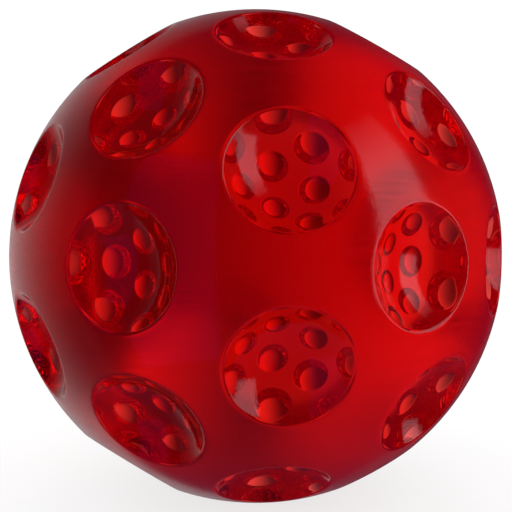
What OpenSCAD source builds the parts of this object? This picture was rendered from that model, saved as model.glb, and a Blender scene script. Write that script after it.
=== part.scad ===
// Crater-textured high-bounce ball.
// One solid, see-through elastomer moulding. Its surface is a sphere with equal round
// craters, one on every corner and one on the middle of every edge of an icosahedron.
// Each crater is a spherical bowl with a rounded lip.

/* [Ball] */
// Diameter over the smooth land between the craters, in mm
ball_d = 60; // [52:0.5:80]

/* [Craters] */
// Width of a crater where its bowl meets the ball's surface, in mm
crater_d = 12.2; // [8:0.1:13]
// Depth of a crater, from the ball's full surface to the bottom of the bowl, in mm
crater_depth = 3.45; // [1.5:0.05:4.5]
// Radius of the rounded lip round each crater, in mm
lip_r = 0.5; // [0.2:0.05:0.6]

/* [Hidden] */
$fn = 96;

ball_r = ball_d / 2;
crater_r = crater_d / 2;

// Bowl of a crater on the +Y axis of its profile: a circle through the rim and the bottom
bowl_bottom = ball_r - crater_depth;
rim_height = sqrt(ball_r ^ 2 - crater_r ^ 2) - bowl_bottom;
bowl_r = (crater_r ^ 2 + rim_height ^ 2) / (2 * rim_height);
bowl_centre = [0, bowl_bottom + bowl_r];

// Lip: a circle that touches the ball from inside and the bowl from outside
lip_from_ball = ball_r - lip_r;
lip_from_bowl = bowl_r + lip_r;
lip_y = (lip_from_ball ^ 2 - lip_from_bowl ^ 2 + bowl_centre.y ^ 2) / (2 * bowl_centre.y);
lip_centre = [sqrt(lip_from_ball ^ 2 - lip_y ^ 2), lip_y];
// Point above the outer edge of the lip, clear of the ball
above_lip = lip_centre * 1.05;

// Icosahedron corners, set so that craters also sit on the X, Y and Z axes
golden = (1 + sqrt(5)) / 2;
edge_length = 2;
corners = [for (a = [-1, 1], b = [-1, 1])
    each [[0, a * golden, b], [b, 0, a * golden], [a * golden, b, 0]]];
edge_middles = [for (i = [0:10], j = [i + 1:11])
    if (norm(corners[i] - corners[j]) < 1.01 * edge_length) (corners[i] + corners[j]) / 2];
crater_places = concat(corners, edge_middles);

// Outline of half a crater, with the part above the lip that clears the surface
module crater_outline() {
    intersection() {
        translate(bowl_centre) circle(bowl_r);
        square([bowl_r, 2 * bowl_centre.y]);
    }
    difference() {
        polygon([bowl_centre, lip_centre, above_lip]);
        translate(lip_centre) circle(lip_r);
    }
}

module crater_cutter(place) {
    rotate([0, acos(place.z / norm(place)), atan2(place.y, place.x)])
        rotate_extrude() crater_outline();
}

module ball() color("crimson", 0.8) difference() {
    sphere(ball_r);
    for (place = crater_places) crater_cutter(place);
}

ball();
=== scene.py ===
"""Looks of a crater-textured, see-through bouncing ball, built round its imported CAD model."""
import math
from itertools import combinations

import bmesh
import bpy
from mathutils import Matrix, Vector


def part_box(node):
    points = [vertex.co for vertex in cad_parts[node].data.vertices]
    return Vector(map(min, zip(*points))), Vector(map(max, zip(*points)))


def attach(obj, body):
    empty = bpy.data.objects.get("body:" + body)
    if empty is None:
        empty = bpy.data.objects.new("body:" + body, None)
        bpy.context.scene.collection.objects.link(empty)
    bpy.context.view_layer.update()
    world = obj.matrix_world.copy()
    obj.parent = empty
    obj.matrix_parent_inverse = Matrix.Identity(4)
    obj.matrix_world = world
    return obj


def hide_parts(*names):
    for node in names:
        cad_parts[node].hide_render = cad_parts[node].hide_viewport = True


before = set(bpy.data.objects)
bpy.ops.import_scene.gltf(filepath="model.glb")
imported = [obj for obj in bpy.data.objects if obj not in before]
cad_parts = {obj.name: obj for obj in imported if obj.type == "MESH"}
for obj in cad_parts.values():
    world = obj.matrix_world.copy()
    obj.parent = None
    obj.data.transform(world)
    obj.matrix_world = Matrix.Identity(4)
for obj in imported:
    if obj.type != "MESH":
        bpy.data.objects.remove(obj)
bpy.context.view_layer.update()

# ---------------------------------------------------------------- sizes, in metres
ball_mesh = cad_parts["ball"].data
BALL_R = max(vertex.co.length for vertex in ball_mesh.vertices)
FLOOR_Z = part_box("ball")[0].z
CRATER_R = 0.0061        # where the bowl meets the ball's surface
CRATER_DEPTH = 0.00345   # from the ball's full surface to the bottom of the bowl
LIP_R = 0.0005           # rounding of the lip

# ---------------------------------------------------------------- mesh density
EDGE_STEPS = 14          # points along one side of a crater's cell
BOWL_RINGS = 11
LIP_RINGS = 6
LAND_RINGS = 7
MERGE_DISTANCE = 1e-6

NEIGHBOUR_ANGLE = 45     # degrees: craters nearer than this are next to each other
EDGE_LIMIT = 2.01        # an edge of the icosahedron below is 2 long


# ---------------------------------------------------------------- crater places
def crater_axes():
    """Unit vectors to the craters: an icosahedron's corners and the middles of its edges."""
    golden = (1 + math.sqrt(5)) / 2
    corners = []
    for a in (-golden, golden):
        for b in (-1, 1):
            corners += [Vector((0, a, b)), Vector((b, 0, a)), Vector((a, b, 0))]
    middles = [p + q for p, q in combinations(corners, 2) if (p - q).length < EDGE_LIMIT]
    return [v.normalized() for v in corners + middles]


def cell_corners(axes):
    """For each crater, the corners of the patch of surface nearest to it, in order round it."""
    near = math.cos(math.radians(NEIGHBOUR_ANGLE))
    beside = {frozenset((i, j)) for i, j in combinations(range(len(axes)), 2) if axes[i].dot(axes[j]) > near}
    corners = [[] for _ in axes]
    for trio in combinations(range(len(axes)), 3):
        if all(frozenset(pair) in beside for pair in combinations(trio, 2)):
            a, b, c = (axes[i] for i in trio)
            corner = (b - a).cross(c - a).normalized()
            if corner.dot(a) < 0:
                corner.negate()
            for i in trio:
                corners[i].append(corner)
    for axis, found in zip(axes, corners):
        side = axis.orthogonal().normalized()
        other = axis.cross(side)
        found.sort(key=lambda v: math.atan2(v.dot(other), v.dot(side)))
    return corners


# ---------------------------------------------------------------- crater section
def crater_section():
    """Half a crater's bottom height, its (out, up) points to its lip's outer edge, and that edge's angle."""
    bottom = BALL_R - CRATER_DEPTH
    rim = math.sqrt(BALL_R ** 2 - CRATER_R ** 2) - bottom
    bowl_r = (CRATER_R ** 2 + rim ** 2) / (2 * rim)
    centre = bottom + bowl_r
    from_ball = BALL_R - LIP_R
    from_bowl = bowl_r + LIP_R
    lip_up = (from_ball ** 2 - from_bowl ** 2 + centre ** 2) / (2 * centre)
    lip_out = math.sqrt(from_ball ** 2 - lip_up ** 2)
    bowl_end = math.atan2(lip_out, centre - lip_up)
    lip_angle = math.atan2(lip_out, lip_up)
    section = []
    for i in range(1, BOWL_RINGS + 1):
        turn = bowl_end * i / BOWL_RINGS
        section.append((bowl_r * math.sin(turn), centre - bowl_r * math.cos(turn)))
    for i in range(1, LIP_RINGS + 1):
        turn = -bowl_end + (bowl_end + lip_angle) * i / LIP_RINGS
        section.append((lip_out + LIP_R * math.sin(turn), lip_up + LIP_R * math.cos(turn)))
    return bottom, section, lip_angle


def add_crater(mesh, axis, corners, bottom, section, lip_angle):
    """Adds one crater and its share of the land, as rings of faces round the crater's axis."""
    border = []
    for start, end in zip(corners, corners[1:] + corners[:1]):
        border += [start.slerp(end, i / EDGE_STEPS) for i in range(EDGE_STEPS)]
    columns = []
    for point in border:
        reach = axis.angle(point)
        side = (point - axis * point.dot(axis)).normalized()
        column = [out * side + up * axis for out, up in section]
        for i in range(1, LAND_RINGS + 1):
            angle = lip_angle + (reach - lip_angle) * i / LAND_RINGS
            column.append(BALL_R * (math.sin(angle) * side + math.cos(angle) * axis))
        columns.append([mesh.verts.new(co) for co in column])
    middle = mesh.verts.new(axis * bottom)
    for column, following in zip(columns, columns[1:] + columns[:1]):
        mesh.faces.new((middle, column[0], following[0]))
        for i in range(len(column) - 1):
            mesh.faces.new((column[i], column[i + 1], following[i + 1], following[i]))


def make_ball():
    mesh = bmesh.new()
    axes = crater_axes()
    bottom, section, lip_angle = crater_section()
    for axis, corners in zip(axes, cell_corners(axes)):
        add_crater(mesh, axis, corners, bottom, section, lip_angle)
    bmesh.ops.remove_doubles(mesh, verts=mesh.verts, dist=MERGE_DISTANCE)
    bmesh.ops.recalc_face_normals(mesh, faces=mesh.faces)
    data = bpy.data.meshes.new("crater_ball")
    mesh.to_mesh(data)
    mesh.free()
    data.shade_smooth()
    ball = bpy.data.objects.new("crater_ball", data)
    bpy.context.scene.collection.objects.link(ball)
    return ball


# ---------------------------------------------------------------- shader helpers
def add_node(tree, kind, **settings):
    node = tree.nodes.new(kind)
    for name, value in settings.items():
        setattr(node, name, value)
    return node


def math_node(tree, operation, *values):
    node = add_node(tree, "ShaderNodeMath", operation=operation)
    for socket, value in zip(node.inputs, values):
        if isinstance(value, bpy.types.NodeSocket):
            tree.links.new(value, socket)
        else:
            socket.default_value = value
    return node.outputs[0]


def ramp(tree, value, low, high, to_low, to_high):
    """value taken smoothly from (low, high) to (to_low, to_high)."""
    node = add_node(tree, "ShaderNodeMapRange", interpolation_type="SMOOTHSTEP")
    tree.links.new(value, node.inputs["Value"])
    for name, number in zip(("From Min", "From Max", "To Min", "To Max"), (low, high, to_low, to_high)):
        node.inputs[name].default_value = number
    return node.outputs["Result"]


# ---------------------------------------------------------------- red elastomer
IOR = 1.52
HEAD_ON_MIRROR = ((IOR - 1) / (IOR + 1)) ** 2   # share of light the surface mirrors when seen straight on
LAND_ROUGHNESS = 0.22     # of the land between the craters
BOWL_ROUGHNESS = 0.05     # of the craters and their lips
SKIN_ROUGHNESS = 0.025    # of the gloss over all of it
ROUGHNESS_SPREAD = 0.05   # full swing that one pattern gives the land's roughness
POLISHED_SHARE = 0.25     # how much of the land's uneven roughness the craters have
LAND_DEPTH = 0.00006      # the land ends this far below the ball's full surface
LAND_EDGE = 0.00004       # width of that change
GRAIN_SIZE = 0.0003       # fine grain, felt only by the gloss coat
GRAIN_HEIGHT = 0.000003
CLOUD_SIZE = 0.009        # patches that are a little duller or glossier
STREAK_LENGTH = 0.006     # faint rubbed lines round the ball
STREAK_WIDTH = 0.0004
NOISE_RANGE = (0.3, 0.7)  # the part of the noise that is used, as nearly all of it lies there
ABSORPTION = (2.0, 96.0, 108.0)   # share of red, green and blue taken off, per metre
DENSITY = 120.0


def noise(tree, place, size, detail):
    """A smooth uneven pattern, from -0.5 to 0.5, with features about size metres across."""
    node = add_node(tree, "ShaderNodeTexNoise")
    tree.links.new(place, node.inputs["Vector"])
    node.inputs["Scale"].default_value = 1 / size
    node.inputs["Detail"].default_value = detail
    return ramp(tree, node.outputs[0], *NOISE_RANGE, -0.5, 0.5)


def red_elastomer():
    """Clear deep-red rubber: satin land, polished craters and lips, and a grain in the gloss over both."""
    material = bpy.data.materials.new("red_elastomer")
    material.use_nodes = True
    tree = material.node_tree
    shader = tree.nodes["Principled BSDF"]
    shader.inputs["Base Color"].default_value = (1.0, 1.0, 1.0, 1.0)
    shader.inputs["IOR"].default_value = IOR
    shader.inputs["Transmission Weight"].default_value = 1.0

    # The coat mirrors what the surface mirrors straight on, and the rough layer under it the rest
    shader.inputs["Specular Tint"].default_value = (0.0, 0.0, 0.0, 1.0)
    shader.inputs["Coat IOR"].default_value = IOR
    shader.inputs["Coat Roughness"].default_value = SKIN_ROUGHNESS
    fresnel = add_node(tree, "ShaderNodeFresnel")
    fresnel.inputs["IOR"].default_value = IOR
    coat = math_node(tree, "DIVIDE", HEAD_ON_MIRROR, fresnel.outputs[0])
    tree.links.new(coat, shader.inputs["Coat Weight"])

    # 1 on the land, 0 in the craters and on their lips
    place = add_node(tree, "ShaderNodeTexCoord").outputs["Object"]
    from_centre = add_node(tree, "ShaderNodeVectorMath", operation="LENGTH")
    tree.links.new(place, from_centre.inputs[0])
    land_start = BALL_R - LAND_DEPTH
    land = ramp(tree, from_centre.outputs["Value"], land_start, land_start + LAND_EDGE, 0, 1)
    uneven_share = ramp(tree, land, 0, 1, POLISHED_SHARE, 1)

    along = add_node(tree, "ShaderNodeVectorMath", operation="MULTIPLY")
    tree.links.new(place, along.inputs[0])
    along.inputs[1].default_value = (1, 1, STREAK_LENGTH / STREAK_WIDTH)
    grain = noise(tree, place, GRAIN_SIZE, detail=1)
    cloud = noise(tree, place, CLOUD_SIZE, detail=2)
    streak = noise(tree, along.outputs[0], STREAK_LENGTH, detail=2)
    uneven = math_node(tree, "ADD", cloud, streak)
    stray = math_node(tree, "MULTIPLY", math_node(tree, "MULTIPLY", uneven, uneven_share), ROUGHNESS_SPREAD)
    finish = ramp(tree, land, 0, 1, BOWL_ROUGHNESS, LAND_ROUGHNESS)
    tree.links.new(math_node(tree, "ADD", finish, stray), shader.inputs["Roughness"])

    bump = add_node(tree, "ShaderNodeBump")
    tree.links.new(grain, bump.inputs["Height"])
    bump.inputs["Distance"].default_value = GRAIN_HEIGHT
    tree.links.new(bump.outputs["Normal"], shader.inputs["Coat Normal"])

    volume = add_node(tree, "ShaderNodeVolumeAbsorption")
    volume.inputs["Color"].default_value = [1 - a / DENSITY for a in ABSORPTION] + [1.0]
    volume.inputs["Density"].default_value = DENSITY
    tree.links.new(volume.outputs["Volume"], tree.nodes["Material Output"].inputs["Volume"])
    return material


# ---------------------------------------------------------------- camera
CAMERA_AZIMUTH = 25.4      # degrees
CAMERA_ELEVATION = 2.5
CAMERA_DISTANCE = 3.19 * BALL_R
LENS_MM = 52.6
SENSOR_MM = 36
CLIP_START = 0.001


def make_camera():
    azimuth, elevation = math.radians(CAMERA_AZIMUTH), math.radians(CAMERA_ELEVATION)
    back = Vector((
        math.sin(azimuth) * math.cos(elevation),
        -math.cos(azimuth) * math.cos(elevation),
        math.sin(elevation),
    ))
    data = bpy.data.cameras.new("camera")
    data.sensor_width = SENSOR_MM
    data.lens = LENS_MM
    data.clip_start = CLIP_START
    camera = bpy.data.objects.new("camera", data)
    camera.location = back * CAMERA_DISTANCE
    camera.rotation_euler = back.to_track_quat("Z", "Y").to_euler()
    bpy.context.scene.collection.objects.link(camera)
    bpy.context.scene.camera = camera


# ---------------------------------------------------------------- studio
WHITE = 1.05              # background, as the camera and matt surfaces see it
AZIMUTH_MIDDLE = -60.0    # azimuth runs 180 degrees either side of this
FLOOR_RADIUS = 3.0
FLOOR_SIDES = 96
FLOOR_GREY = 0.28
FLOOR_GLOW = 0.76
MAX_BOUNCES = 32
GLOSSY_BOUNCES = 16


def make_studio_light():
    """Soft panels round the ball: azimuth is from the camera, to its right, and elevation is up, in degrees.

    The red fill stands in for light scattered inside the ball: only rays that pass through it see it.
    """
    world = bpy.data.worlds.new("studio")
    bpy.context.scene.world = world
    world.use_nodes = True
    world.cycles.sampling_method = "NONE"
    tree = world.node_tree
    way = add_node(tree, "ShaderNodeSeparateXYZ")
    tree.links.new(add_node(tree, "ShaderNodeTexCoord").outputs["Generated"], way.inputs[0])

    middle = math.radians(CAMERA_AZIMUTH + AZIMUTH_MIDDLE)
    ahead = math_node(tree, "SUBTRACT", math_node(tree, "MULTIPLY", way.outputs[0], math.sin(middle)),
                      math_node(tree, "MULTIPLY", way.outputs[1], math.cos(middle)))
    across = math_node(tree, "ADD", math_node(tree, "MULTIPLY", way.outputs[0], math.cos(middle)),
                       math_node(tree, "MULTIPLY", way.outputs[1], math.sin(middle)))
    degrees = 180 / math.pi
    azimuth = math_node(tree, "MULTIPLY", math_node(tree, "ARCTAN2", across, ahead), degrees)
    azimuth = math_node(tree, "ADD", azimuth, AZIMUTH_MIDDLE)
    elevation = math_node(tree, "MULTIPLY", math_node(tree, "ARCSINE", way.outputs[2]), degrees)

    def within(value, low, high, soft):
        """1 between low and high, with edges 2 x soft wide."""
        return math_node(tree, "MULTIPLY", ramp(tree, value, low - soft, low + soft, 0, 1),
                         ramp(tree, value, high - soft, high + soft, 1, 0))

    def coloured(value, colour):
        node = add_node(tree, "ShaderNodeVectorMath", operation="SCALE")
        node.inputs[0].default_value = colour
        tree.links.new(value, node.inputs["Scale"])
        return node.outputs[0]

    def panel(left, right, low, high, soft, light, colour):
        shape = math_node(tree, "MULTIPLY", within(azimuth, left, right, soft),
                          within(elevation, low, high, soft))
        return coloured(math_node(tree, "MULTIPLY", shape, light), colour)

    def product(*values):
        total = values[0]
        for value in values[1:]:
            total = math_node(tree, "MULTIPLY", total, value)
        return total

    # How bright each panel is over its height and width
    softbox = product(ramp(tree, elevation, -16, 6, 1.15, 1.4), ramp(tree, elevation, 26, 52, 1.0, 0.15))
    front_screen = ramp(tree, elevation, -35, 35, 0.125, 0.085)
    back_screen = product(ramp(tree, azimuth, -200, -152, 0.05, 0.5),
                          ramp(tree, azimuth, -138, -88, 1.0, 0.08),
                          ramp(tree, elevation, 10, 50, 1.0, 0.2))
    path = add_node(tree, "ShaderNodeLightPath")
    side_fill = product(within(azimuth, -171, 64, 24), ramp(tree, elevation, 0, 65, 0.345, 0.12),
                        ramp(tree, elevation, -80, -20, 0.35, 1.0))
    fill = product(math_node(tree, "ADD", side_fill, 0.04), path.outputs["Is Transmission Ray"])
    low_fill = ramp(tree, elevation, -70, 0, 1.0, 0.0)
    light = coloured(low_fill, (0.08, 0.035, 0.07))
    for part in (
        # a faint even light from all round
        panel(left=-400, right=400, low=-100, high=100, soft=1, light=1.0, colour=(0.03, 0.0, 0.028)),
        # the red fill
        coloured(fill, (1.0, 0.0, 0.0)),
        # a tall softbox to the right
        panel(left=54.5, right=83, low=-14, high=51, soft=2.5, light=softbox, colour=(1.2, 0.82, 0.92)),
        # a dim screen in front, to the left
        panel(left=-61, right=-17, low=-41, high=42, soft=0.7, light=front_screen, colour=(1.5, 0.1, 1.0)),
        # a screen from the left round to behind
        panel(left=-215, right=-80, low=-44, high=50, soft=3, light=back_screen, colour=(1.0, 1.05, 1.0)),
    ):
        node = add_node(tree, "ShaderNodeVectorMath", operation="ADD")
        tree.links.new(light, node.inputs[0])
        tree.links.new(part, node.inputs[1])
        light = node.outputs[0]

    studio = tree.nodes["Background"]
    tree.links.new(light, studio.inputs["Color"])
    white = add_node(tree, "ShaderNodeBackground")
    white.inputs["Color"].default_value = (WHITE, WHITE, WHITE, 1.0)
    plain = math_node(tree, "MAXIMUM", path.outputs["Is Camera Ray"], path.outputs["Is Diffuse Ray"])
    mix = add_node(tree, "ShaderNodeMixShader")
    tree.links.new(plain, mix.inputs[0])
    tree.links.new(studio.outputs[0], mix.inputs[1])
    tree.links.new(white.outputs[0], mix.inputs[2])
    tree.links.new(mix.outputs[0], tree.nodes["World Output"].inputs["Surface"])


def make_floor():
    """A pale floor that the ball stands on, and neither mirrors nor shows through itself."""
    mesh = bmesh.new()
    bmesh.ops.create_circle(mesh, cap_ends=True, segments=FLOOR_SIDES, radius=FLOOR_RADIUS)
    data = bpy.data.meshes.new("floor")
    mesh.to_mesh(data)
    mesh.free()
    floor = bpy.data.objects.new("floor", data)
    floor.location.z = FLOOR_Z
    floor.visible_glossy = False
    floor.visible_transmission = False
    bpy.context.scene.collection.objects.link(floor)
    material = bpy.data.materials.new("floor")
    material.use_nodes = True
    shader = material.node_tree.nodes["Principled BSDF"]
    shader.inputs["Base Color"].default_value = (FLOOR_GREY, FLOOR_GREY, FLOOR_GREY, 1.0)
    shader.inputs["Roughness"].default_value = 1.0
    shader.inputs["Specular IOR Level"].default_value = 0.0
    shader.inputs["Emission Color"].default_value = (1.0, 1.0, 1.0, 1.0)
    shader.inputs["Emission Strength"].default_value = FLOOR_GLOW
    data.materials.append(material)


def set_up_view():
    scene = bpy.context.scene
    scene.view_settings.view_transform = "Standard"
    scene.cycles.max_bounces = MAX_BOUNCES
    scene.cycles.transmission_bounces = MAX_BOUNCES
    scene.cycles.glossy_bounces = GLOSSY_BOUNCES


# ---------------------------------------------------------------- build
make_camera()
make_studio_light()
make_floor()
set_up_view()

ball = make_ball()
ball.data.materials.append(red_elastomer())
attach(ball, "root")
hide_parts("ball")
